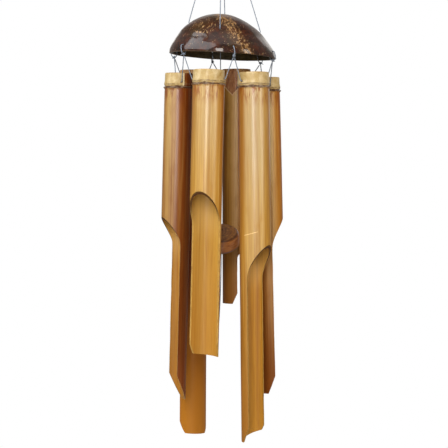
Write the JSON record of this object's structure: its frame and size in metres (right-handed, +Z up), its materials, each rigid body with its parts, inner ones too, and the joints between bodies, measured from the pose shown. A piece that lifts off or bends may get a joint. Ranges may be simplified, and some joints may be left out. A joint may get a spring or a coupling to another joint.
{
  "type": "wind chime",
  "caption": "Hanging wind chime: bamboo tubes with cut-away mouths on lines under a coconut half shell, round a wooden clapper on its own line.",
  "frame": {"origin": "inner top of the hang ring, where a hook bears", "axes": "+Z up along the chime; the front, with the front left and front right tubes, faces -Y; +X is to the right seen from the front"},
  "size_m": [0.1426, 0.14, 0.6571],
  "materials": {
    "bamboo_left": "satin",
    "bamboo_front_left": "satin",
    "bamboo_front_right": "satin",
    "bamboo_right": "satin",
    "bamboo_back_right": "satin",
    "bamboo_back_left": "satin",
    "coconut": "gloss",
    "cord": "satin",
    "ring_steel": "satin",
    "clapper_wood": "satin"
  },
  "bodies": {
    "hang_ring": {"hang_ring": "ring_steel"},
    "ring_loop": {"ring_loop": "cord"},
    "gather_knot": {"gather_knot": "cord"},
    "canopy": {"coconut_shell": "coconut", "hanger_line_left_right": "cord", "hanger_line_front_back": "cord", "rim_tie_front_left": "cord", "rim_tie_front": "cord", "rim_tie_right": "cord", "rim_tie_back_right": "cord", "rim_tie_back": "cord", "rim_tie_left": "cord"},
    "line_left": {"suspension_line_left": "cord"},
    "tube_left": {"bamboo_tube_left": "bamboo_left"},
    "line_front_left": {"suspension_line_front_left": "cord"},
    "tube_front_left": {"bamboo_tube_front_left": "bamboo_front_left"},
    "line_front_right": {"suspension_line_front_right": "cord"},
    "tube_front_right": {"bamboo_tube_front_right": "bamboo_front_right"},
    "line_right": {"suspension_line_right": "cord"},
    "tube_right": {"bamboo_tube_right": "bamboo_right"},
    "line_back_right": {"suspension_line_back_right": "cord"},
    "tube_back_right": {"bamboo_tube_back_right": "bamboo_back_right"},
    "line_back_left": {"suspension_line_back_left": "cord"},
    "tube_back_left": {"bamboo_tube_back_left": "bamboo_back_left"},
    "clapper_tie": {"clapper_tie": "cord"},
    "clapper_line": {"clapper_line": "cord"},
    "clapper_stop": {"clapper_stop_knot": "cord"},
    "clapper_disc": {"clapper_disc": "clapper_wood"},
    "tail": {"tail_line": "cord", "tail_knot": "cord"}
  },
  "joints": [
    {"name": "chime_swing_front_back", "type": "hinge", "parent": "hang_ring", "child": "ring_loop", "pos_m": [0, 0, -0.017], "axis": [1, 0, 0], "range_deg": [-25, 25]},
    {"name": "chime_swing_side", "type": "hinge", "parent": "ring_loop", "child": "gather_knot", "pos_m": [0, 0, -0.031], "axis": [0, -1, 0], "range_deg": [-25, 25]},
    {"name": "chime_turn", "type": "hinge", "parent": "gather_knot", "child": "canopy", "pos_m": [0, 0, -0.031], "axis": [0, 0, 1], "range_deg": [-180, 180]},
    {"name": "line_swing_left", "type": "hinge", "parent": "canopy", "child": "line_left", "pos_m": [-0.04995, -0.01051, -0.20658], "axis": [0.2076, -0.9781, -0.0116], "range_deg": [-15, 1.5]},
    {"name": "tube_rock_left", "type": "hinge", "parent": "line_left", "child": "tube_left", "pos_m": [-0.04995, -0.01051, -0.238], "axis": [0.2076, -0.9782, 0], "range_deg": [-10, 1.5]},
    {"name": "line_swing_front_left", "type": "hinge", "parent": "canopy", "child": "line_front_left", "pos_m": [-0.01495, -0.04945, -0.20853], "axis": [0.9496, -0.309, -0.0531], "range_deg": [-15, 1.5]},
    {"name": "tube_rock_front_left", "type": "hinge", "parent": "line_front_left", "child": "tube_front_left", "pos_m": [-0.01495, -0.04945, -0.2364], "axis": [0.9509, -0.3095, 0], "range_deg": [-10, 1.5]},
    {"name": "line_swing_front_right", "type": "hinge", "parent": "canopy", "child": "line_front_right", "pos_m": [0.03622, -0.03855, -0.2114], "axis": [0.742, 0.6691, -0.0415], "range_deg": [-15, 1.5]},
    {"name": "tube_rock_front_right", "type": "hinge", "parent": "line_front_right", "child": "tube_front_right", "pos_m": [0.03622, -0.03855, -0.2384], "axis": [0.7426, 0.6697, 0], "range_deg": [-10, 1.5]},
    {"name": "line_swing_right", "type": "hinge", "parent": "canopy", "child": "line_right", "pos_m": [0.05238, 0.01128, -0.2123], "axis": [0.2076, -0.9781, -0.0116], "range_deg": [-1.5, 15]},
    {"name": "tube_rock_right", "type": "hinge", "parent": "line_right", "child": "tube_right", "pos_m": [0.05238, 0.01128, -0.2406], "axis": [0.2076, -0.9782, 0], "range_deg": [-1.5, 10]},
    {"name": "line_swing_back_right", "type": "hinge", "parent": "canopy", "child": "line_back_right", "pos_m": [0.01738, 0.05022, -0.21034], "axis": [0.9496, -0.309, -0.0531], "range_deg": [-1.5, 15]},
    {"name": "tube_rock_back_right", "type": "hinge", "parent": "line_back_right", "child": "tube_back_right", "pos_m": [0.01738, 0.05022, -0.228], "axis": [0.9509, -0.3095, 0], "range_deg": [-1.5, 10]},
    {"name": "line_swing_back_left", "type": "hinge", "parent": "canopy", "child": "line_back_left", "pos_m": [-0.03379, 0.03932, -0.20748], "axis": [0.742, 0.6691, -0.0415], "range_deg": [-1.5, 15]},
    {"name": "tube_rock_back_left", "type": "hinge", "parent": "line_back_left", "child": "tube_back_left", "pos_m": [-0.03379, 0.03932, -0.2312], "axis": [0.7426, 0.6697, 0], "range_deg": [-1.5, 10]},
    {"name": "clapper_swing_front_back", "type": "hinge", "parent": "canopy", "child": "clapper_tie", "pos_m": [-0.00162, 0.00038, -0.17853], "axis": [1, 0, 0], "range_deg": [-3.3, 3.3]},
    {"name": "clapper_swing_side", "type": "hinge", "parent": "clapper_tie", "child": "clapper_line", "pos_m": [-0.00162, 0.00038, -0.17853], "axis": [0, -1, 0], "range_deg": [-3.3, 3.3]},
    {"name": "clapper_spin", "type": "hinge", "parent": "clapper_line", "child": "clapper_stop", "pos_m": [-0.00162, 0.00038, -0.40932], "axis": [0, 0, 1], "range_deg": [-180, 180]},
    {"name": "clapper_tip", "type": "hinge", "parent": "clapper_stop", "child": "clapper_disc", "pos_m": [-0.00162, 0.00038, -0.4203], "axis": [0.9976, -0.0697, 0], "range_deg": [-7, 7]},
    {"name": "tail_swing", "type": "hinge", "parent": "clapper_stop", "child": "tail", "pos_m": [-0.00082, 0.01178, -0.42906], "axis": [1, 0, 0], "range_deg": [-10, 10]}
  ]
}
